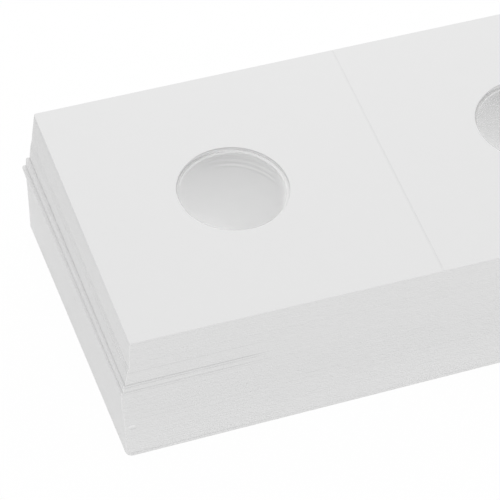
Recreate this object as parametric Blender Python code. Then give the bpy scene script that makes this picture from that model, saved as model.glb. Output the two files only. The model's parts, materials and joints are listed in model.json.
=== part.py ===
"""A pile of fifty open card coin holders, as it comes out of its pack.

Each holder is one white card, two squares long, with a crease across its middle and a round window
in each half. A clear film, bonded to the face that ends up inside, closes both windows. A coin is
laid on the film over one window, and the other half is folded over it.

The pile lies with the film side down and the long side along X. The origin is on the surface that
the pile stands on, under the middle of the top card's crease.
"""
import math
import random
from typing import NamedTuple

import bmesh
import bpy
from mathutils import Matrix, Vector

MM = 0.001

# One holder
FOLDED_SIDE = 50.8 * MM
WINDOW_DIAMETER = 18.0 * MM
BOARD_THICKNESS = 0.44 * MM
FILM_THICKNESS = 0.05 * MM
SCORE_WIDTH = 0.3 * MM
SCORE_DEPTH = 0.15 * MM

# The top holder folds, so its two halves are separate pieces
FOLD_SLIT = 0.2 * MM
FOLD_CLEARANCE = 0.05 * MM

# The pile
CARD_COUNT = 50
SEPARATE_FILM_CARDS = 7
UPPER_STACK_LAST = 18
GLUE_LINE = 0.01 * MM
AIR_GAP = 0.03 * MM
FAN_TURN = math.radians(0.8)
FRONT_LEAN = 0.45 * MM
SCATTER = 0.015 * MM
SCATTER_TURN = math.radians(0.01)
SCATTER_SEED = 7

# How finely the round windows are cut, on the cards that show and on the cards below them
WINDOW_SIDES = 40
HIDDEN_WINDOW_SIDES = 20

CUT_MARGIN = 1.0 * MM


class Slip(NamedTuple):
    """How far a card's left end stands out past the top card's, in millimetres."""
    card: int
    at_front: float
    at_back: float


# The front edges were squared up, so they only fan out and lean a little, as FAN_TURN and FRONT_LEAN
# say for the bottom card. The left ends aren't cut quite square, and stand out in runs. The cards
# between two rows lie evenly between them.
SLIPS = (
    Slip(1, 0.00, 0.00),
    Slip(11, 0.08, 0.48),
    Slip(14, 0.42, 0.74),
    Slip(18, 0.61, 0.88),
    Slip(19, 0.91, 1.51),
    Slip(21, 0.94, 1.54),
    Slip(22, 1.27, 2.14),
    Slip(27, 1.19, 1.51),
    Slip(35, 0.72, 1.28),
    Slip(48, 0.41, 1.02),
    Slip(50, 0.18, 0.68),
)


class Punch(NamedTuple):
    """How far the two windows are punched off the middle of their squares, in millimetres."""
    along: float
    left_across: float
    right_across: float


# The windows are punched a little to the back of their squares, as the top card shows. The two cards
# below it have punches of their own, which the rings that show in its left window give.
PUNCH = Punch(-0.09, 0.62, 1.19)
OWN_PUNCHES = {2: Punch(-0.57, 0.74, 1.31), 3: Punch(0.41, 0.62, 1.19)}

OPEN_LENGTH = 2 * FOLDED_SIDE
CARD_THICKNESS = BOARD_THICKNESS + GLUE_LINE + FILM_THICKNESS
PITCH = CARD_THICKNESS + AIR_GAP
BOARD_BOTTOM = FILM_THICKNESS + GLUE_LINE

WHITE_CARD = (0.80, 0.80, 0.80, 1.0)
CLEAR_FILM = (0.78, 0.79, 0.80, 0.25)


def clear_scene():
    for scene_object in list(bpy.data.objects):
        bpy.data.objects.remove(scene_object, do_unlink=True)


def new_collection(name):
    collection = bpy.data.collections.new(name)
    bpy.context.scene.collection.children.link(collection)
    return collection


def new_material(name, colour, roughness):
    material = bpy.data.materials.new(name)
    material.use_nodes = True
    shader = material.node_tree.nodes["Principled BSDF"]
    shader.inputs["Base Color"].default_value = colour
    shader.inputs["Alpha"].default_value = colour[3]
    shader.inputs["Roughness"].default_value = roughness
    shader.inputs["Metallic"].default_value = 0.0
    material.diffuse_color = colour
    return material


def new_object(name, mesh, collection, parent=None):
    mesh_object = bpy.data.objects.new(name, mesh)
    collection.objects.link(mesh_object)
    mesh_object.parent = parent
    return mesh_object


def new_marker(name, collection, parent, place):
    marker = bpy.data.objects.new(name, None)
    marker.empty_display_size = WINDOW_DIAMETER / 4
    collection.objects.link(marker)
    marker.parent = parent
    marker.location = place
    return marker


def box_mesh(name, low, high):
    """A box between two corners."""
    size = Vector(high) - Vector(low)
    centre = (Vector(high) + Vector(low)) / 2
    shape = bmesh.new()
    bmesh.ops.create_cube(shape, size=1.0, matrix=Matrix.Translation(centre) @ Matrix.Diagonal(size).to_4x4())
    mesh = bpy.data.meshes.new(name)
    shape.to_mesh(mesh)
    shape.free()
    return mesh


def window_places(punch):
    """The middles of the left and right windows, in the card's own frame."""
    left = (FOLDED_SIDE / 2 + punch.along * MM, FOLDED_SIDE / 2 + punch.left_across * MM)
    right = (FOLDED_SIDE * 3 / 2 + punch.along * MM, FOLDED_SIDE / 2 + punch.right_across * MM)
    return left, right


def window_cutter(collection, middle, low, sides):
    """A round cutter for the window with this middle, open at the top."""
    high = CARD_THICKNESS + CUT_MARGIN
    centre = Vector((*middle, (low + high) / 2))
    shape = bmesh.new()
    bmesh.ops.create_cone(
        shape, cap_ends=True, segments=sides, radius1=WINDOW_DIAMETER / 2, radius2=WINDOW_DIAMETER / 2,
        depth=high - low, matrix=Matrix.Translation(centre))
    return finished_cutter(shape, collection, "window_cutter")


def score_cutter(collection):
    """A long wedge that presses the crease into the card's top face."""
    shape = bmesh.new()
    reach = CARD_THICKNESS + CUT_MARGIN
    root = CARD_THICKNESS - SCORE_DEPTH
    half_width = SCORE_WIDTH / 2 * (reach - root) / SCORE_DEPTH
    section = [shape.verts.new((FOLDED_SIDE + x, -CUT_MARGIN, z))
               for x, z in ((0, root), (half_width, reach), (-half_width, reach))]
    face = shape.faces.new(section)
    swept = bmesh.ops.extrude_face_region(shape, geom=[face])
    moved = [item for item in swept["geom"] if isinstance(item, bmesh.types.BMVert)]
    bmesh.ops.translate(shape, verts=moved, vec=(0, FOLDED_SIDE + 2 * CUT_MARGIN, 0))
    bmesh.ops.recalc_face_normals(shape, faces=shape.faces)
    return finished_cutter(shape, collection, "score_cutter")


def finished_cutter(shape, collection, name):
    mesh = bpy.data.meshes.new(name)
    shape.to_mesh(mesh)
    shape.free()
    cutter = new_object(name, mesh, collection)
    cutter.hide_render = True
    cutter.display_type = "WIRE"
    return cutter


def cut_mesh(name, blank, cutters, collection, material):
    """The blank's mesh with all the cutters taken out of it."""
    work = new_object(name + "_blank", blank, collection)
    for cutter in cutters:
        cut = work.modifiers.new("cut", "BOOLEAN")
        cut.operation = "DIFFERENCE"
        cut.solver = "EXACT"
        cut.object = cutter
    shaped = work.evaluated_get(bpy.context.evaluated_depsgraph_get())
    mesh = bpy.data.meshes.new_from_object(shaped)
    mesh.name = name
    mesh.materials.clear()
    mesh.materials.append(material)
    bpy.data.objects.remove(work, do_unlink=True)
    return mesh


def board_mesh(collection, material, punch):
    """One open board in the card's own frame: the front left corner of its film at the origin."""
    blank = box_mesh("board", (0, 0, BOARD_BOTTOM), (OPEN_LENGTH, FOLDED_SIDE, CARD_THICKNESS))
    cutters = [window_cutter(collection, middle, -CUT_MARGIN, WINDOW_SIDES)
               for middle in window_places(punch)]
    cutters.append(score_cutter(collection))
    return cut_mesh("board", blank, cutters, collection, material)


def bonded_card_mesh(collection, material):
    """A board and its film as one solid, with the film left whole over both windows."""
    blank = box_mesh("bonded_card", (0, 0, 0), (OPEN_LENGTH, FOLDED_SIDE, CARD_THICKNESS))
    cutters = [window_cutter(collection, middle, FILM_THICKNESS, HIDDEN_WINDOW_SIDES)
               for middle in window_places(PUNCH)]
    cutters.append(score_cutter(collection))
    return cut_mesh("bonded_card", blank, cutters, collection, material)


def film_mesh(material):
    mesh = box_mesh("film", (0, 0, 0), (OPEN_LENGTH, FOLDED_SIDE, FILM_THICKNESS))
    mesh.materials.append(material)
    return mesh


def half_board_mesh(name, start, end, window_place, collection, material):
    blank = box_mesh(name, (start, 0, BOARD_BOTTOM), (end, FOLDED_SIDE, CARD_THICKNESS))
    cutter = window_cutter(collection, window_place, -CUT_MARGIN, WINDOW_SIDES)
    return cut_mesh(name, blank, [cutter], collection, material)


def half_film_mesh(name, start, end, material):
    mesh = box_mesh(name, (start, 0, 0), (end, FOLDED_SIDE, FILM_THICKNESS))
    mesh.materials.append(material)
    return mesh


def slip_of(card):
    """The slip of one card, read between the two rows that it lies between."""
    for above, below in zip(SLIPS, SLIPS[1:]):
        if above.card <= card <= below.card:
            share = (card - above.card) / (below.card - above.card)
            return Slip(card, *(start + share * (end - start) for start, end in zip(above[1:], below[1:])))
    return SLIPS[-1]


def share_of_fan(card):
    """0 for the top card and 1 for the bottom one."""
    return (card - 1) / (CARD_COUNT - 1)


def end_slant(card):
    """How far the back left corner stands out past a square one, along the card."""
    slip = slip_of(card)
    return (slip.at_back - slip.at_front) * MM - FOLDED_SIDE * math.sin(FAN_TURN * share_of_fan(card))


def with_slanted_end(mesh, slant):
    """A copy of a card's mesh with its left end cut askew."""
    slanted = mesh.copy()
    for vertex in slanted.vertices:
        if vertex.co.x < CUT_MARGIN / 2:
            vertex.co.x -= slant * vertex.co.y / FOLDED_SIDE
    return slanted


def card_place(card, scatter):
    """Where a card's front left corner lies, and how the card is turned about it."""
    turn = FAN_TURN * share_of_fan(card)
    left = -FOLDED_SIDE - slip_of(card).at_front * MM
    corner = Vector((left, -FOLDED_SIDE / 2 - FRONT_LEAN * share_of_fan(card), 0))
    if card > 1:
        corner.x += scatter.uniform(-SCATTER, SCATTER)
        corner.y += scatter.uniform(-SCATTER, SCATTER)
        turn += scatter.uniform(-SCATTER_TURN, SCATTER_TURN)
    corner.z = (CARD_COUNT - card) * PITCH
    return Matrix.Translation(corner) @ Matrix.Rotation(turn, 4, "Z")


def lift_markers(collection):
    """One marker for each body that lifts off the pile, each carried by the one below it."""
    upper_stack = new_marker("upper_stack_lift", collection, None, (0, 0, 0))
    markers = {}
    below = upper_stack
    for card in range(SEPARATE_FILM_CARDS, 0, -1):
        name = "top_card_lift" if card == 1 else f"card_{card:02d}_lift"
        below = new_marker(name, collection, below, (0, 0, 0))
        markers[card] = below
    return upper_stack, markers


def add_card_piece(name, mesh, collection, parent, place):
    piece = new_object(name, mesh, collection, parent)
    piece.matrix_local = place
    return piece


def top_card(collection, cutters, materials, lift, place):
    """The top holder: its left half lies on the pile, and its right half folds over it."""
    card, film = materials
    left_end = FOLDED_SIDE - FOLD_SLIT / 2
    right_start = FOLDED_SIDE + FOLD_SLIT / 2
    hinge = place @ Vector((FOLDED_SIDE, FOLDED_SIDE / 2, CARD_THICKNESS + FOLD_CLEARANCE))
    fold = new_marker("top_card_fold", collection, lift, hinge)
    from_hinge = Matrix.Translation(-hinge) @ place

    left_window, right_window = window_places(PUNCH)

    left_board = half_board_mesh("left_board", 0, left_end, left_window, cutters, card)
    right_board = half_board_mesh("right_board", right_start, OPEN_LENGTH, right_window, cutters, card)
    add_card_piece("top_card_left_board", left_board, collection, lift, place)
    add_card_piece("top_card_left_film", half_film_mesh("left_film", 0, left_end, film), collection,
                   lift, place)
    add_card_piece("top_card_right_board", right_board, collection, fold, from_hinge)
    add_card_piece("top_card_right_film", half_film_mesh("right_film", right_start, OPEN_LENGTH, film),
                   collection, fold, from_hinge)


def build():
    clear_scene()
    parts = new_collection("coin_holder_pile")
    cutters = new_collection("cutters")
    card_material = new_material("white_card", WHITE_CARD, 0.75)
    film_material = new_material("clear_film", CLEAR_FILM, 0.15)
    scatter = random.Random(SCATTER_SEED)
    places = {card: card_place(card, scatter) for card in range(1, CARD_COUNT + 1)}
    upper_stack, lifts = lift_markers(parts)

    top_card(parts, cutters, (card_material, film_material), lifts[1], places[1])

    common_board = board_mesh(cutters, card_material, PUNCH)
    film = film_mesh(film_material)
    for card in range(2, SEPARATE_FILM_CARDS + 1):
        own_punch = OWN_PUNCHES.get(card)
        board = board_mesh(cutters, card_material, own_punch) if own_punch else common_board
        for layer, mesh in (("board", board), ("film", film)):
            slanted = with_slanted_end(mesh, end_slant(card))
            add_card_piece(f"card_{card:02d}_{layer}", slanted, parts, lifts[card], places[card])

    bonded_card = bonded_card_mesh(cutters, card_material)
    for card in range(SEPARATE_FILM_CARDS + 1, CARD_COUNT + 1):
        parent = upper_stack if card <= UPPER_STACK_LAST else None
        slanted = with_slanted_end(bonded_card, end_slant(card))
        add_card_piece(f"card_{card:02d}", slanted, parts, parent, places[card])


build()
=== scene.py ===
"""The looks of a pile of fifty open coin holders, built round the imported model.

Each holder is a board of white card and a clear film under it. Both are modelled in the holder's own
frame, in metres, with the front left corner of the film's underside at the origin, and then laid
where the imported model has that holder. The holders' outlines, heights and windows are read from it.
"""
import json
import math
from typing import NamedTuple

import bmesh
import bpy
from mathutils import Matrix, Vector


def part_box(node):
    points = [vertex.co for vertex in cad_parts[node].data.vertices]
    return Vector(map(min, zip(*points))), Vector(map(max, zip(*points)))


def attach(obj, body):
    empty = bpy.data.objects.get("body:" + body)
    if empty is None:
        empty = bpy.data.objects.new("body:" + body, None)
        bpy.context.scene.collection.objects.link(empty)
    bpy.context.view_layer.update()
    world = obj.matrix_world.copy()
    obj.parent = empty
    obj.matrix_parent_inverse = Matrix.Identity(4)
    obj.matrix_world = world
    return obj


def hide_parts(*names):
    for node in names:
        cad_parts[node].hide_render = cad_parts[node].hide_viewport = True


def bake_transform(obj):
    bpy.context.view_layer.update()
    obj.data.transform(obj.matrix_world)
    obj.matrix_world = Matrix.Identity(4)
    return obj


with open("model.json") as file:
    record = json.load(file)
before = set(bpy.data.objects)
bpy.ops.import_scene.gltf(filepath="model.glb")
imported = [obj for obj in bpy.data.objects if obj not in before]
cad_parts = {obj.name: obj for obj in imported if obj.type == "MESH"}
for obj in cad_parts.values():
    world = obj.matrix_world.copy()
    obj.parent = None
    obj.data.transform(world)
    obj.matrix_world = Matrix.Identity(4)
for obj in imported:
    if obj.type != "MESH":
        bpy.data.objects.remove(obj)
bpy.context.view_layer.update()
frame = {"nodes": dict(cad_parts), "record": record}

MM = 0.001

# The pile
CARD_COUNT = 50
CLEAR_FILM_CARDS = 2

# The cards' edges. A face counts as flat where its normal stands up by FLAT, and as round where its
# normal leans along the card and across it by more than ROUND_SHARE.
CORNER_RADIUS = 0.2 * MM
CORNER_SEGMENTS = 4
EDGE_ROUND = 0.005 * MM
EDGE_SEGMENTS = 2
EDGE_BAND = 0.14 * MM
ROUND_SHARE = 0.05
FLAT = 0.9
SHARP_CORNER = math.radians(60)
SMOOTH_LIMIT = math.radians(40)
NEAR_CORNER = 1.5 * MM
NEAR_CORNER_LEAN = 0.2
FILM_INSET = 0.002 * MM
RESTING_GAP = 0.002 * MM
BLUNT_CORNERS = {48: 0.3 * MM, 49: 0.6 * MM, 50: 1.0 * MM}

# How far the card above each of these has sprung up at their left ends, and how far along that shows
SPRUNG = {14: 0.02 * MM, 19: 0.06 * MM, 20: 0.03 * MM, 22: 0.03 * MM, 23: 0.015 * MM, 50: 0.02 * MM}
SPRUNG_LENGTH = 24 * MM

# The painted shade at such a gap: how dark it is for the gap's height and how far above the gap it
# lies. In millimetres, how far it reaches up and down, over what length it ends along the cards, and
# how far behind the front edges it starts to end and is gone.
SPRUNG_SHADE = 2.9 / MM
SPRUNG_SHADE_LIFT = 0.15 * MM
SPRUNG_SHADE_REACH = 0.18
SPRUNG_SHADE_END = 5.0
SPRUNG_SHADE_DEPTH = (0.6, 1.0)

# The windows
TOP_WINDOW_SIDES = 192
WINDOW_SIDES = 96

# Where the rims of two windows deep in the pile seem to lie, seen from the top card's, in millimetres
# along the card and across it
DEEP_RIMS = ((-0.67, -1.2), (-0.97, -2.2))

# The crease, with the lines that it is pressed along as shares of its width, and how far from its
# middle its painted shade starts to fade and is gone, in millimetres
CREASE_WIDTH = 0.30 * MM
CREASE_DEPTH = 0.03 * MM
CREASE_LINES = (-0.5, -0.25, 0.0, 0.25, 0.5)
CREASE_SHADE = 0.018
CREASE_SHADE_REACH = (0.08, 0.26)
STRIP_STEPS = 12
STRIP_SINK = 0.03 * MM

# How white the surfaces are. The cut edges are painted whiter at the pile's foot, as light there, up to
# a height in millimetres. The punched edges are painted whiter than the card, as light through it. The
# top card's is darker upwards in a painted shade, which is least at the left and grows between two
# places along a window, in millimetres from its middle.
CARD_WHITE = 0.789
CUT_EDGE_WHITE = 0.758
FOOT_WHITE_PAINTED_LIGHT = 0.801
FOOT_HEIGHT = 12.0
# The near corners are painted brighter, a highlight where they catch the light
CORNER_PAINTED_HIGHLIGHT = 0.835
PUNCHED_WHITE_PAINTED_LIGHT = 0.96
PUNCHED_PAINTED_SHADE = 0.34
PAINTED_SHADE_LEAST = 0.1
PAINTED_SHADE_REACH = (-7.0, -1.0)
FILM_WHITE = 0.82
FILM_EDGE_WHITE = 0.78

# The second and third cards' faces where they show through the windows: how much painted light there
# is on the second, and painted shade on the third, and how far outside their own rims that starts and
# is full, in millimetres
SECOND_LEDGE_PAINTED_LIGHT = 0.04
THIRD_LEDGE_PAINTED_SHADE = -0.22
LEDGE_REACH = (-1.5, -1.0)

# How much of the clear film is seen, and how much more of it and how much whiter where a thicker haze
# is painted as light over the shaded rims. It lies along the left rim and inside the far rim of the
# card below. For both there is the depth over which it thins out, and where it ends in the window, in
# millimetres from its middle.
FILM_SEEN = 0.10
PAINTED_LIGHT_SEEN = 0.21
PAINTED_LIGHT_WHITE = 0.14
LEFT_PAINTED_LIGHT = 0.55
LEFT_PAINTED_LIGHT_DEPTH = 1.5
LEFT_PAINTED_LIGHT_REACH = (-5.0, -0.5)
FAR_PAINTED_LIGHT_DEPTH = 0.45
FAR_PAINTED_LIGHT_REACH = (-7.0, -3.0)
RIM_BLUR = 0.06

# How white the stacked films are painted: at the far rim, darker as shade of the far wall, and how much
# whiter at the near rim as reflection of the many films, at the right as light and, as a share, along
# the second card's rim as light
STACK_FAR_PAINTED_SHADE = 0.448
STACK_NEARER_PAINTED_REFLECTION = 0.221
STACK_RIGHTER_PAINTED_LIGHT = 0.03
STACK_RIGHT_REACH = (0.0, 8.0)
UNDER_LEDGE_PAINTED_LIGHT = 0.4
UNDER_LEDGE_DEPTH = 0.4

# The faint arcs on them: each is a bright line of painted light, for a lit ledge, with a dark line of
# painted shade inside it, for a shaded wall. They fade in between two places along the window and two
# across it, in millimetres from its middle.
ARC_WIDTH = 0.3
ARC_SPACING = 0.5
ARC_PAINTED_LIGHT = 0.085
ARC_PAINTED_SHADE = 0.055
ARCS_ALONG = (-3.0, 2.0)
ARCS_ACROSS = (-2.0, 1.0)


class Mark(NamedTuple):
    """A small oval mark on the cut edges, in millimetres, and how much brighter it is."""
    middle: tuple
    half_size: tuple
    brighter: float


# A nick near the corner, drawn as a painted highlight and a painted shadow under it, then a speck and a
# rubbed place
NICK_PAINTED_HIGHLIGHT = Mark((-50.3, -25.8, 7.1), (0.75, 1.0, 0.40), 0.10)
NICK_PAINTED_SHADOW = Mark((-50.1, -25.8, 6.45), (0.8, 1.0, 0.28), -0.06)
SPECK = Mark((-52.0, -1.15, 10.8), (1.0, 0.7, 0.28), -0.05)
RUBBED = Mark((-1.0, -25.5, 7.7), (0.45, 1.0, 2.2), -0.02)

# The photograph's camera, from where the top card's near corner lies in its frame
CAMERA_LENS = 245.1
CAMERA_SENSOR = 36.0
CAMERA_AZIMUTH = math.radians(-21.31)
CAMERA_ELEVATION = math.radians(47.63)
CAMERA_ROLL = math.radians(3.23)
CAMERA_FROM_CORNER = Vector((18.14, 14.18, 512.85)) * MM

# The light
LIGHT_FROM_ABOVE = 0.875
LIGHT_FROM_AROUND = 1.005
LIGHT_FROM_THE_RIGHT = 0.015
HORIZON = (-0.06, -0.03)
FLOOR_SIZE = 3.0
FLOOR_COLOUR = (0.95, 0.95, 0.95, 1.0)
FLOOR_GLOW = 0.97


class SoftBox(NamedTuple):
    """A square lamp that faces the middle of the pile, in millimetres and watts."""
    name: str
    place: tuple
    size: float
    power: float


SOFT_BOXES = (
    SoftBox("back_soft_box", (20, 200, 150), 160, 0.084),
    SoftBox("front_soft_box", (60, -230, 80), 160, 0.017),
)


class Holder(NamedTuple):
    """Where one holder lies, how large it is, and where its windows are in its own frame."""
    number: int
    place: Matrix
    length: float
    depth: float
    end_slant: float
    windows: list
    window_radius: float


def node_points(*names):
    """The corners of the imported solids, at rest."""
    return [vertex.co.copy() for name in names for vertex in frame["nodes"][name].data.vertices]


def layer_nodes(number, layer):
    """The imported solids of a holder's board or film. In the lower holders one solid is both."""
    if number == 1:
        return f"top_card_left_{layer}", f"top_card_right_{layer}"
    separate = f"card_{number:02d}_{layer}"
    return (separate,) if separate in frame["nodes"] else (f"card_{number:02d}",)


def body_of(node):
    """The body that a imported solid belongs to."""
    bodies = frame["record"]["behaviour"]["bodies"]
    return next(name for name, nodes in bodies.items() if node in nodes)


def read_holder(number):
    """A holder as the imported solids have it."""
    points = node_points(*layer_nodes(number, "board"))
    film_points = node_points(*layer_nodes(number, "film"))
    front_left = min(points, key=lambda point: point.x + point.y)
    front_right = max(points, key=lambda point: point.x - point.y)
    back_left = min(points, key=lambda point: point.x - point.y)
    corner = Vector((front_left.x, front_left.y, min(point.z for point in film_points)))
    along = (front_right - front_left).xy.normalized()
    turn = math.atan2(along.y, along.x)
    place = Matrix.Translation(corner) @ Matrix.Rotation(turn, 4, "Z")
    length = (front_right - front_left).xy.length
    end_slant, depth = (place.inverted() @ back_left).xy
    windows, radius = read_windows([place.inverted() @ point for point in points], length, depth)
    return Holder(number, place, length, depth, end_slant, windows, radius)


def read_windows(points, length, depth):
    """The middles of the two windows and their radius, from the solid's corners inside its outline."""
    margin = 2.0 * MM
    windows = []
    for start, end in ((0, length / 2), (length / 2, length)):
        rim = [point for point in points
               if start + margin < point.x < end - margin and margin < point.y < depth - margin]
        low = Vector((min(point.x for point in rim), min(point.y for point in rim)))
        high = Vector((max(point.x for point in rim), max(point.y for point in rim)))
        windows.append((low + high) / 2)
        radius = (high - low).x / 2
    return windows, radius


holders = {number: read_holder(number) for number in range(1, CARD_COUNT + 1)}

film_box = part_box("card_02_film")
board_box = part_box("card_02_board")
next_film_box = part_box("card_03_film")
BOARD_BOTTOM = board_box[0].z - film_box[0].z
CARD_TOP = board_box[1].z - film_box[0].z
PITCH = film_box[0].z - next_film_box[0].z


class Wire:
    """One output of a material's nodes. Sums and products of wires add the nodes that work them out."""

    def __init__(self, graph, socket):
        self.graph = graph
        self.socket = socket

    def maths(self, operation, first, second=0.0):
        return self.graph.add("ShaderNodeMath", {"operation": operation}, {0: first, 1: second})

    def __add__(self, other):
        return self.maths("ADD", self, other)

    def __radd__(self, other):
        return self.maths("ADD", other, self)

    def __sub__(self, other):
        return self.maths("SUBTRACT", self, other)

    def __rsub__(self, other):
        return self.maths("SUBTRACT", other, self)

    def __mul__(self, other):
        return self.maths("MULTIPLY", self, other)

    def __rmul__(self, other):
        return self.maths("MULTIPLY", other, self)

    def __truediv__(self, other):
        return self.maths("DIVIDE", self, other)

    def __pow__(self, other):
        return self.maths("POWER", self, other)

    def size(self):
        return self.maths("ABSOLUTE", self)

    def sign(self):
        return self.maths("SIGN", self)

    def whole(self):
        return self.maths("FLOOR", self)

    def at_least(self, other):
        return self.maths("MAXIMUM", self, other)

    def at_most(self, other):
        return self.maths("MINIMUM", self, other)

    def fading(self, length):
        """1 where the value is 0, falling to nothing over a few lengths."""
        return self.maths("POWER", math.exp(-1 / length), self)


class Graph:
    """The nodes of one material, or of the world."""

    def __init__(self, owner):
        owner.use_nodes = True
        self.owner = owner
        self.tree = owner.node_tree

    def add(self, kind, settings=None, inputs=None, output=0):
        """A node of one kind, with its settings set first and then its sockets fed."""
        node = self.tree.nodes.new(kind)
        for name, value in (settings or {}).items():
            setattr(node, name, value)
        for key, value in (inputs or {}).items():
            self.feed(node.inputs[key], value)
        return Wire(self, node.outputs[output])

    def feed(self, socket, value):
        if isinstance(value, Wire):
            self.tree.links.new(value.socket, socket)
        else:
            socket.default_value = value

    def paint(self, **inputs):
        """Feeds the Principled shader's sockets. A name's underscores stand for spaces."""
        shader = self.tree.nodes["Principled BSDF"]
        for name, value in inputs.items():
            self.feed(shader.inputs[name.replace("_", " ")], value)
        return self.owner

    def millimetres(self):
        """The place on the object, in millimetres."""
        place = self.add("ShaderNodeTexCoord", output="Object")
        return self.add("ShaderNodeVectorMath", {"operation": "SCALE"}, {0: place, "Scale": 1 / MM})

    def parts(self, vector):
        """A vector's three parts."""
        split = self.add("ShaderNodeSeparateXYZ", inputs={0: vector})
        return split, *(Wire(self, split.socket.node.outputs[part]) for part in (1, 2))

    def join(self, x, y, z):
        return self.add("ShaderNodeCombineXYZ", inputs={0: x, 1: y, 2: z})

    def stretch(self, vector, scales):
        return self.add("ShaderNodeVectorMath", {"operation": "MULTIPLY"}, {0: vector, 1: scales})

    def noise(self, vector, scale, detail=2.0, roughness=0.5):
        """A noise from about -1 to 1, with a mean of 0."""
        inputs = {"Vector": vector, "Scale": scale, "Detail": detail, "Roughness": roughness}
        return self.add("ShaderNodeTexNoise", {"noise_dimensions": "3D"}, inputs) * 2 - 1

    def ramp(self, value, low, high, start=0.0, end=1.0, smooth=True):
        """The value's range from low to high, laid over the range from start to end."""
        kind = "SMOOTHSTEP" if smooth else "LINEAR"
        inputs = {"Value": value, 1: low, 2: high, 3: start, 4: end}
        return self.add("ShaderNodeMapRange", {"interpolation_type": kind, "clamp": True}, inputs)

    def spot(self, place, middle, half_size):
        """1 in the middle of an oval spot, 0 at its edge and beyond."""
        away = self.add("ShaderNodeVectorMath", {"operation": "SUBTRACT"}, {0: place, 1: middle})
        share = self.add("ShaderNodeVectorMath", {"operation": "DIVIDE"}, {0: away, 1: half_size})
        reach = self.add("ShaderNodeVectorMath", {"operation": "LENGTH"}, {0: share}, output="Value")
        return self.ramp(reach, 0.4, 1.0, 1.0, 0.0)

    def grey(self, value):
        return self.join(value, value, value)

    def bump(self, height, strength, distance):
        inputs = {"Height": height, "Strength": strength, "Distance": distance}
        return self.add("ShaderNodeBump", inputs=inputs)


def card_face_material():
    """The smooth face of the card: an even white, faintly cloudy, and with a painted shade along the
    crease.
    """
    graph = Graph(bpy.data.materials.new("white_card_face"))
    place = graph.millimetres()
    x, _, _ = graph.parts(place)
    cloud = graph.noise(place, 0.35, 3.0)
    tooth = graph.noise(place, 9.0, 4.0, 0.6)
    # A painted shade along the crease
    pressed = graph.ramp(x.size(), *CREASE_SHADE_REACH, 1.0, 0.0)
    white = CARD_WHITE + 0.004 * cloud + 0.004 * tooth - CREASE_SHADE * pressed
    fibres = graph.noise(graph.stretch(place, (1.0, 0.35, 1.0)), 6.0, 5.0, 0.65)
    return graph.paint(
        Base_Color=graph.grey(white), Roughness=0.62 + 0.08 * tooth, Specular_IOR_Level=0.35,
        Normal=graph.bump(fibres, 0.15, 0.01 * MM))


def painted_ledge_material(name, number, brighter):
    """A lower card's face, with painted light where the windows show it; a negative amount paints shade.
    """
    graph = Graph(bpy.data.materials.new(name))
    place = graph.millimetres()
    x, y, _ = graph.parts(place)
    # Painted light on the second card where the windows show it, painted shade on the third
    painted_ledge_light = graph.ramp(inside_rim(number, x, y), *LEDGE_REACH, 0.0, brighter)
    tooth = graph.noise(place, 9.0, 4.0, 0.6)
    return graph.paint(
        Base_Color=graph.grey(CARD_WHITE + painted_ledge_light + 0.004 * tooth), Roughness=0.62 + 0.08 * tooth,
        Specular_IOR_Level=0.35, Normal=graph.bump(tooth, 0.15, 0.01 * MM))


def cut_edge_material():
    """The guillotined edge of the card: fibres along it, blade marks down it, and a tone for each card.

    The lower cards are painted a little whiter, as light near the floor. The front face has a painted
    shade at each gap under a sprung card. A nick near the corner is a painted highlight with a painted
    shadow under it, and a speck on the left end and a rubbed place on the front break the evenness.
    """
    graph = Graph(bpy.data.materials.new("white_card_cut_edge"))
    place = graph.millimetres()
    x, y, z = graph.parts(place)
    layer = (z / (PITCH / MM)).whole()
    tone = graph.add("ShaderNodeTexWhiteNoise", {"noise_dimensions": "1D"}, {"W": layer})
    run = x + y
    blade = graph.noise(graph.join(run * 1.6, 0.0, z * 0.05), 1.0, 3.0)
    fibres = graph.noise(graph.join(run * 1.5, 3.0, z * 14.0), 1.0, 4.0, 0.6)
    cloud = graph.noise(place, 0.12, 2.0)
    # The foot of the pile is painted whiter, as light there
    pile = graph.ramp(z, 0.0, FOOT_HEIGHT, FOOT_WHITE_PAINTED_LIGHT, CUT_EDGE_WHITE)
    gap_painted_shade = 0.0
    # A painted shade at the gaps under sprung cards, on the front face only
    for number, gap in SPRUNG.items():
        height = ((CARD_COUNT + 1 - number) * PITCH - RESTING_GAP + SPRUNG_SHADE_LIFT) / MM
        gap_painted_shade = gap_painted_shade + graph.ramp((z - height).size(), 0.0, SPRUNG_SHADE_REACH, gap * SPRUNG_SHADE, 0.0)
    closed = (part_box("top_card_left_board")[0].x + SPRUNG_LENGTH) / MM
    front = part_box("top_card_left_board")[0].y / MM
    full_depth, end_depth = SPRUNG_SHADE_DEPTH
    gap_painted_shade = gap_painted_shade * graph.ramp(x, closed - SPRUNG_SHADE_END, closed, 1.0, 0.0)
    gap_painted_shade = gap_painted_shade * graph.ramp(y, front + full_depth, front + end_depth, 1.0, 0.0)
    # The nick's painted highlight and painted shadow, the speck and the rubbed place
    marks = 0.0
    for mark in (NICK_PAINTED_HIGHLIGHT, NICK_PAINTED_SHADOW, SPECK, RUBBED):
        marks = marks + mark.brighter * graph.spot(place, mark.middle, mark.half_size)
    grain = 0.004 * (tone - 0.5) + 0.002 * blade + 0.002 * fibres + 0.004 * cloud
    white = pile + grain + marks - gap_painted_shade
    return graph.paint(
        Base_Color=graph.grey(white), Roughness=0.85, Specular_IOR_Level=0.2,
        Normal=graph.bump(fibres + 0.5 * blade, 0.03, 0.002 * MM))


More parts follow.
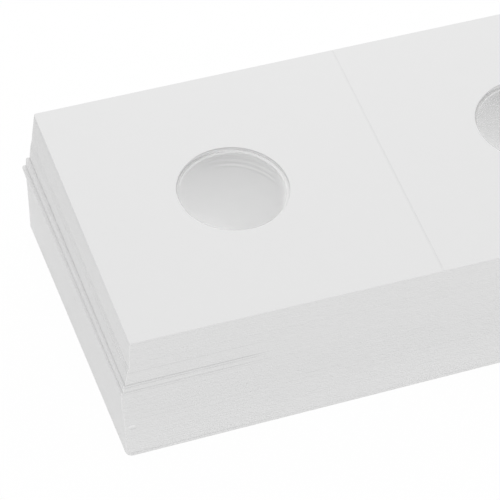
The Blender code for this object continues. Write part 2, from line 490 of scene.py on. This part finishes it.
def painted_corner_highlight_material():
    """The cards' near corners, painted brighter as a highlight where the rounded corner catches light."""
    graph = Graph(bpy.data.materials.new("white_card_painted_corner_highlight"))
    place = graph.millimetres()
    mottle = graph.noise(graph.stretch(place, (0.6, 0.6, 1.6)), 1.0, 3.0)
    return graph.paint(
        Base_Color=graph.grey(CORNER_PAINTED_HIGHLIGHT + 0.02 * mottle), Roughness=0.75, Specular_IOR_Level=0.2,
        Normal=graph.bump(mottle, 0.1, 0.01 * MM))


def window_edge_material():
    """Punched window edge: painted light through the card, and on the top card painted shade at the
    right.
    """
    graph = Graph(bpy.data.materials.new("white_card_punched_edge"))
    place = graph.millimetres()
    x, y, z = graph.parts(place)
    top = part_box("top_card_left_board")[1].z / MM
    board = (CARD_TOP - BOARD_BOTTOM) / MM
    window_x, _ = from_window(1, x, y)
    # A painted shade on the top card's punched edge, growing from the window's left and upwards
    pressed = graph.ramp(z, top - board, top) * graph.ramp(window_x, *PAINTED_SHADE_REACH, PAINTED_SHADE_LEAST, 1.0)
    white = PUNCHED_WHITE_PAINTED_LIGHT - PUNCHED_PAINTED_SHADE * pressed
    grain = graph.noise(graph.stretch(place, (2.0, 2.0, 10.0)), 1.0, 4.0, 0.6)
    return graph.paint(
        Base_Color=graph.grey(white + 0.01 * grain), Roughness=0.8, Specular_IOR_Level=0.2,
        Normal=graph.bump(grain, 0.1, 0.005 * MM))


def clear_film_material():
    """Clear polyester with a faint even haze, a soft shine and ripples.

    Along a window's left rim, and inside the far rim of the card below, a thicker, whiter haze is painted
    as light over the shade there.
    """
    graph = Graph(bpy.data.materials.new("clear_film_face"))
    place = graph.millimetres()
    x, y, _ = graph.parts(place)
    window_x, window_y = from_window(1, x, y)
    left = graph.ramp(window_x, *LEFT_PAINTED_LIGHT_REACH, 1.0, 0.0)
    below = inside_rim(2, x, y)
    far = (1 - left) * graph.ramp(window_y, *FAR_PAINTED_LIGHT_REACH) * graph.ramp(below, -RIM_BLUR, RIM_BLUR)
    # Painted light: the haze is thicker and whiter over the shaded rims
    painted_light = (LEFT_PAINTED_LIGHT * left * inside_rim(1, x, y).at_least(0.0).fading(LEFT_PAINTED_LIGHT_DEPTH)
           + far * below.at_least(0.0).fading(FAR_PAINTED_LIGHT_DEPTH))
    haze = graph.noise(place, 0.4, 3.0)
    ripple = graph.noise(graph.stretch(place, (1.0, 0.5, 1.0)), 0.35, 2.0)
    return graph.paint(
        Base_Color=graph.grey(FILM_WHITE + PAINTED_LIGHT_WHITE * painted_light), Roughness=0.12 + 0.02 * haze,
        Alpha=FILM_SEEN + 0.01 * haze + PAINTED_LIGHT_SEEN * painted_light, Specular_IOR_Level=0.6,
        Normal=graph.bump(ripple, 0.2, 0.05 * MM))


def film_edge_material():
    """The cut edge of the film, which shows white."""
    graph = Graph(bpy.data.materials.new("clear_film_edge"))
    place = graph.millimetres()
    grain = graph.noise(place, 3.0, 3.0)
    return graph.paint(Base_Color=graph.grey(FILM_EDGE_WHITE + 0.01 * grain), Roughness=0.5)


def from_window(number, x, y):
    """How far a place is from the middle of its window in one of the holders, along x and y."""
    holder = holders[number]
    left, right = ((holder.place @ window.to_3d()) / MM for window in holder.windows)
    middle, reach = (left + right) / 2, (right - left) / 2
    side = x.sign()
    return x - middle.x - side * reach.x, y - middle.y - side * reach.y


def inside_rim(number, x, y, shift=(0.0, 0.0)):
    """How far inside a holder's window a place is, with the rim shifted. Outside it is negative."""
    window_x, window_y = from_window(number, x, y)
    aside, ahead = window_x - shift[0], window_y - shift[1]
    return holders[number].window_radius / MM - (aside * aside + ahead * ahead) ** 0.5


def film_stack_material():
    """Film with many more films under it.

    Its tone is painted: darker at the far rim, as shade of the far wall, and whiter towards the near
    rim, as the reflection and haze of them all, laid out along the camera's direction. The rims of the
    windows further down are painted as faint arcs of light and shade, each a little nearer than the one
    above it. Along the second card's rim and at the right it is painted lighter.
    """
    graph = Graph(bpy.data.materials.new("stacked_film_painted_shade_and_reflection"))
    place = graph.millimetres()
    x, y, _ = graph.parts(place)
    window_x, window_y = from_window(1, x, y)
    # Painted shade at the far rim and painted reflection towards the near one, along the camera's
    # direction
    ahead = window_x * math.sin(-CAMERA_AZIMUTH) + window_y * math.cos(CAMERA_AZIMUTH)
    aside = window_x * math.cos(CAMERA_AZIMUTH) - window_y * math.sin(-CAMERA_AZIMUTH)
    radius = holders[1].window_radius / MM
    far_rim = (radius ** 2 - aside * aside).at_least(0.0) ** 0.5
    depth = ((far_rim - ahead) / (2 * radius)).at_least(0.0).at_most(1.0)
    white = STACK_FAR_PAINTED_SHADE + STACK_NEARER_PAINTED_REFLECTION * depth + STACK_RIGHTER_PAINTED_LIGHT * graph.ramp(window_x, *STACK_RIGHT_REACH)

    # Painted light along the second card's rim
    under_ledge_painted_light = 1 + UNDER_LEDGE_PAINTED_LIGHT * inside_rim(2, x, y).at_least(0.0).fading(UNDER_LEDGE_DEPTH)
    # Painted light and shade of the rims deeper down
    arcs = 0.0
    for shift in DEEP_RIMS:
        inward = inside_rim(1, x, y, shift)
        bright = graph.ramp(inward.size(), 0.0, ARC_WIDTH, ARC_PAINTED_LIGHT, 0.0)
        dark = graph.ramp((inward - ARC_SPACING).size(), 0.0, ARC_WIDTH, ARC_PAINTED_SHADE, 0.0)
        arcs = arcs + bright - dark
    arcs = arcs * graph.ramp(window_x, *ARCS_ALONG) * graph.ramp(window_y, *ARCS_ACROSS)
    haze = graph.noise(place, 0.5, 3.0)
    return graph.paint(Base_Color=graph.grey(white * under_ledge_painted_light + arcs + 0.004 * haze),
                       Roughness=0.35 + 0.05 * haze, Specular_IOR_Level=0.3)


def holder_outline(holder, left, right, inset=0.0):
    """The four corners of a holder's sheet from left to right, with its left end as askew as it is."""
    front = inset
    back = holder.depth - inset
    return (left, front), (right, front), (right, back), (left + holder.end_slant, back)


def sheet_outline(outline, radii):
    """A flat sheet with its corners rounded, from the front left one round to the back left one."""
    shape = bmesh.new()
    corners = [shape.verts.new((x, y, 0)) for x, y in outline]
    shape.faces.new(corners)
    for corner, radius in zip(corners, radii):
        if radius:
            bmesh.ops.bevel(shape, geom=[corner], offset=radius, offset_type="OFFSET",
                            segments=CORNER_SEGMENTS, profile=0.5, affect="VERTICES", material=-1)
    return shape


def punch_windows(shape, windows, radius, sides):
    """Cuts round windows out of a flat sheet, and leaves a narrow band of faces along every edge."""
    bmesh.ops.delete(shape, geom=shape.faces[:], context="FACES_ONLY")
    for window in windows:
        bmesh.ops.create_circle(shape, segments=sides, radius=radius,
                                matrix=Matrix.Translation((window.x, window.y, 0)))
    bmesh.ops.triangle_fill(shape, edges=shape.edges[:], use_beauty=True)
    bmesh.ops.inset_region(shape, faces=shape.faces[:], thickness=EDGE_BAND, depth=0,
                           use_boundary=True, use_even_offset=True)


def score(shape, lines):
    """Cuts a flat sheet along lines across it, where the crease will be pressed."""
    for x in lines:
        geometry = shape.verts[:] + shape.edges[:] + shape.faces[:]
        bmesh.ops.bisect_plane(shape, geom=geometry, plane_co=(x, 0, 0), plane_no=(1, 0, 0))


def thicken(shape, low, high):
    """Gives a flat sheet its thickness."""
    swept = bmesh.ops.extrude_face_region(shape, geom=shape.faces[:])
    raised = [item for item in swept["geom"] if isinstance(item, bmesh.types.BMVert)]
    bmesh.ops.translate(shape, verts=raised, vec=(0, 0, high - low))
    bmesh.ops.translate(shape, verts=shape.verts[:], vec=(0, 0, low))
    bmesh.ops.recalc_face_normals(shape, faces=shape.faces[:])


def sharp_edges(shape):
    return [edge for edge in shape.edges if edge.calc_face_angle(0.0) > SHARP_CORNER]


def lies_flat(face):
    return abs(face.normal.z) > FLAT


def round_edges(shape, radius):
    bmesh.ops.bevel(shape, geom=sharp_edges(shape), offset=radius, offset_type="OFFSET",
                    segments=EDGE_SEGMENTS, profile=0.5, affect="EDGES", clamp_overlap=True, material=-1)


def press_crease(shape, fold, bottom, top):
    """Lowers the upper face along the crease, deepest in its middle."""
    for vertex in shape.verts:
        share = abs(vertex.co.x - fold) / (CREASE_WIDTH / 2)
        if share < 1:
            height = (vertex.co.z - bottom) / (top - bottom)
            vertex.co.z -= CREASE_DEPTH * math.cos(share * math.pi / 2) ** 2 * max(height, 0.0)


def lower_end(shape, gap, bottom, top):
    """Leaves a thin gap over a board's left end, which closes along the board."""
    for vertex in shape.verts:
        share = 1 - vertex.co.x / SPRUNG_LENGTH
        height = (vertex.co.z - bottom) / (top - bottom)
        vertex.co.z -= gap * max(share, 0.0) * height


def finish_piece(name, shape, place, materials):
    """Lays a finished shape in its place and makes it a piece, shaded smooth only where it is round."""
    for face in shape.faces:
        face.smooth = min(abs(face.normal.x), abs(face.normal.y)) > ROUND_SHARE
    shape.transform(place)
    mesh = bpy.data.meshes.new(name)
    shape.to_mesh(mesh)
    shape.free()
    for material in materials:
        mesh.materials.append(material)
    mesh.set_sharp_from_angle(angle=SMOOTH_LIMIT)
    piece = bpy.data.objects.new(name, mesh)
    bpy.context.scene.collection.objects.link(piece)
    return piece


def mark_edges(shape, windows, radius):
    """Gives cut edges the second material, punched edges the third and the near corner the fourth."""
    for face in shape.faces:
        if lies_flat(face):
            continue
        middle = face.calc_center_median().xy
        in_window = any((middle - window).length < radius + EDGE_BAND for window in windows)
        leans_out = min(-face.normal.x, -face.normal.y) > NEAR_CORNER_LEAN
        on_corner = middle.length < NEAR_CORNER and leans_out
        face.material_index = 2 if in_window else 3 if on_corner else 1


def board_piece(name, holder, left, right, radii, windows, creased):
    """A board, or one half of it, from left to right along the holder."""
    on_top = holder.number == 1
    top = CARD_TOP if on_top else PITCH - RESTING_GAP
    sides = TOP_WINDOW_SIDES if on_top else WINDOW_SIDES
    fold = holder.length / 2
    shape = sheet_outline(holder_outline(holder, left, right), radii)
    punch_windows(shape, windows, holder.window_radius, sides)
    if creased:
        score(shape, [fold + share * CREASE_WIDTH for share in CREASE_LINES])
    if holder.number in SPRUNG:
        score(shape, [SPRUNG_LENGTH])
    thicken(shape, BOARD_BOTTOM, top)
    round_edges(shape, EDGE_ROUND)
    if creased:
        press_crease(shape, fold, BOARD_BOTTOM, top)
    if holder.number in SPRUNG:
        lower_end(shape, SPRUNG[holder.number], BOARD_BOTTOM, top)
    mark_edges(shape, windows, holder.window_radius)
    face = ledge_faces.get(holder.number, card_face)
    return finish_piece(name, shape, holder.place, (face, cut_edge, window_edge, painted_corner_highlight))


def film_piece(name, holder, left, right, radii):
    """A film, or one half of it, from left to right along the holder."""
    inset_radii = [radius and radius + FILM_INSET for radius in radii]
    shape = sheet_outline(holder_outline(holder, left, right, FILM_INSET), inset_radii)
    thicken(shape, 0, BOARD_BOTTOM - RESTING_GAP)
    for face in shape.faces:
        face.material_index = 0 if lies_flat(face) else 1
    clear = holder.number <= CLEAR_FILM_CARDS
    piece = finish_piece(name, shape, holder.place, (clear_film if clear else stacked_film, film_edge))
    piece.visible_shadow = not clear
    piece.visible_diffuse = not clear
    return piece


def join_frame(piece, body, nodes):
    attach(piece, body)
    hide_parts(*nodes)


def lower_holder(number):
    """One of the holders under the top one: a whole board with a film under it."""
    holder = holders[number]
    blunt = BLUNT_CORNERS.get(number, CORNER_RADIUS)
    radii = (blunt, CORNER_RADIUS, CORNER_RADIUS, CORNER_RADIUS)
    board_nodes = layer_nodes(number, "board")
    film_nodes = layer_nodes(number, "film")
    body = body_of(board_nodes[0])
    board = board_piece(f"holder_{number:02d}_board", holder, 0, holder.length, radii,
                        holder.windows, True)
    join_frame(board, body, board_nodes)
    film = film_piece(f"holder_{number:02d}_film", holder, FILM_INSET, holder.length - FILM_INSET, radii)
    join_frame(film, body, film_nodes)


def top_holder():
    """The top holder: two halves, and a strip of pressed card and one of film between them at the crease.
    """
    holder = holders[1]
    end_of_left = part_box("top_card_left_board")[1].x - holder.place.translation.x
    start_of_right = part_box("top_card_right_board")[0].x - holder.place.translation.x
    halves = (
        ("left", "top_card", 0, end_of_left, (CORNER_RADIUS, 0, 0, CORNER_RADIUS)),
        ("right", "top_card_flap", start_of_right, holder.length, (0, CORNER_RADIUS, CORNER_RADIUS, 0)),
    )
    for (side, body, left, right, radii), window in zip(halves, holder.windows):
        board = board_piece(f"holder_01_{side}_board", holder, left, right, radii, [window], False)
        join_frame(board, body, [f"top_card_{side}_board"])
        film_left = left + FILM_INSET if side == "left" else left
        film_right = right - FILM_INSET if side == "right" else right
        film = film_piece(f"holder_01_{side}_film", holder, film_left, film_right, radii)
        join_frame(film, body, [f"top_card_{side}_film"])
    crease_strip("holder_01_crease_board", holder, end_of_left, start_of_right, BOARD_BOTTOM,
                 CARD_TOP - STRIP_SINK, (card_face, cut_edge))
    crease_strip("holder_01_crease_film", holder, end_of_left, start_of_right, 0,
                 BOARD_BOTTOM - RESTING_GAP, (clear_film, film_edge))


def crease_strip(name, holder, left, right, bottom, top, materials):
    """The strip between the top holder's two halves, cut across into steps."""
    shape = sheet_outline(holder_outline(holder, left, right), (0, 0, 0, 0))
    step = (right - left) / STRIP_STEPS
    score(shape, [left + step * number for number in range(1, STRIP_STEPS)])
    thicken(shape, bottom, top)
    for face in shape.faces:
        face.material_index = 0 if lies_flat(face) else 1
    strip = finish_piece(name, shape, holder.place, materials)
    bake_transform(strip)


def make_camera():
    """The photograph's camera."""
    azimuth, elevation, roll = CAMERA_AZIMUTH, CAMERA_ELEVATION, CAMERA_ROLL
    back = Vector((math.sin(azimuth) * math.cos(elevation), -math.cos(azimuth) * math.cos(elevation),
                   math.sin(elevation)))
    level = Vector((0, 0, 1)).cross(back).normalized()
    upright = back.cross(level)
    right = math.cos(roll) * level + math.sin(roll) * upright
    up = math.cos(roll) * upright - math.sin(roll) * level
    axes = Matrix((right, up, back)).transposed()
    corner = holders[1].place @ Vector((0, 0, CARD_TOP))
    data = bpy.data.cameras.new("camera")
    data.lens = CAMERA_LENS
    data.sensor_width = CAMERA_SENSOR
    data.clip_start = 0.05
    data.clip_end = 20
    camera = bpy.data.objects.new("camera", data)
    camera.matrix_world = Matrix.Translation(corner + axes @ CAMERA_FROM_CORNER) @ axes.to_4x4()
    bpy.context.scene.collection.objects.link(camera)
    bpy.context.scene.camera = camera


def make_floor():
    """A plain white floor. The camera and mirrors see it white, with a trace of the pile's shadow."""
    shape = bmesh.new()
    bmesh.ops.create_grid(shape, x_segments=1, y_segments=1, size=FLOOR_SIZE / 2)
    mesh = bpy.data.meshes.new("floor")
    shape.to_mesh(mesh)
    shape.free()
    floor = bpy.data.objects.new("floor", mesh)
    bpy.context.scene.collection.objects.link(floor)
    graph = Graph(bpy.data.materials.new("floor_white"))
    graph.paint(Base_Color=FLOOR_COLOUR, Roughness=1.0, Specular_IOR_Level=0.0)
    seen = seen_directly(graph)
    glow = graph.add("ShaderNodeEmission", inputs={"Color": (1, 1, 1, 1), "Strength": 1.0})
    shader = Wire(graph, graph.tree.nodes["Principled BSDF"].outputs[0])
    mixed = graph.add("ShaderNodeMixShader", inputs={0: seen * FLOOR_GLOW, 1: shader, 2: glow})
    graph.feed(graph.tree.nodes["Material Output"].inputs["Surface"], mixed)
    mesh.materials.append(graph.owner)


def seen_directly(graph):
    """1 for what the camera sees, straight or through gloss and clear film, and 0 for light."""
    camera = graph.add("ShaderNodeLightPath", output="Is Camera Ray")
    rays = camera.socket.node.outputs
    glossy = Wire(graph, rays["Is Glossy Ray"])
    through = Wire(graph, rays["Is Transmission Ray"])
    return camera.at_least(glossy).at_least(through)


def make_light():
    """Soft light from all round, stronger from the sides than from above, and two soft boxes.

    No light comes from below the horizon.
    """
    world = bpy.data.worlds.new("studio")
    graph = Graph(world)
    direction = graph.add("ShaderNodeTexCoord", output="Generated")
    x, _, height = graph.parts(direction)
    light = graph.ramp(height, 0.0, 1.0, LIGHT_FROM_AROUND, LIGHT_FROM_ABOVE, smooth=False)
    light = light * (1 + LIGHT_FROM_THE_RIGHT * x) * graph.ramp(height, *HORIZON)
    seen = seen_directly(graph)
    background = graph.tree.nodes["Background"]
    background.inputs["Color"].default_value = (1, 1, 1, 1)
    graph.feed(background.inputs["Strength"], seen + (1 - seen) * light)
    bpy.context.scene.world = world

    for box in SOFT_BOXES:
        lamp = bpy.data.lights.new(box.name, "AREA")
        lamp.shape = "SQUARE"
        lamp.size = box.size * MM
        lamp.energy = box.power
        soft_box = bpy.data.objects.new(box.name, lamp)
        soft_box.location = Vector(box.place) * MM
        soft_box.rotation_euler = (-soft_box.location).to_track_quat("-Z", "Y").to_euler()
        bpy.context.scene.collection.objects.link(soft_box)


make_camera()

card_face = card_face_material()
ledge_faces = {2: painted_ledge_material("white_card_second_ledge_painted_light", 2, SECOND_LEDGE_PAINTED_LIGHT),
               3: painted_ledge_material("white_card_third_ledge_painted_shade", 3, THIRD_LEDGE_PAINTED_SHADE)}
cut_edge = cut_edge_material()
window_edge = window_edge_material()
painted_corner_highlight = painted_corner_highlight_material()
clear_film = clear_film_material()
film_edge = film_edge_material()
stacked_film = film_stack_material()

top_holder()
for number in range(2, CARD_COUNT + 1):
    lower_holder(number)

make_floor()
make_light()
bpy.context.scene.view_settings.view_transform = "Standard"
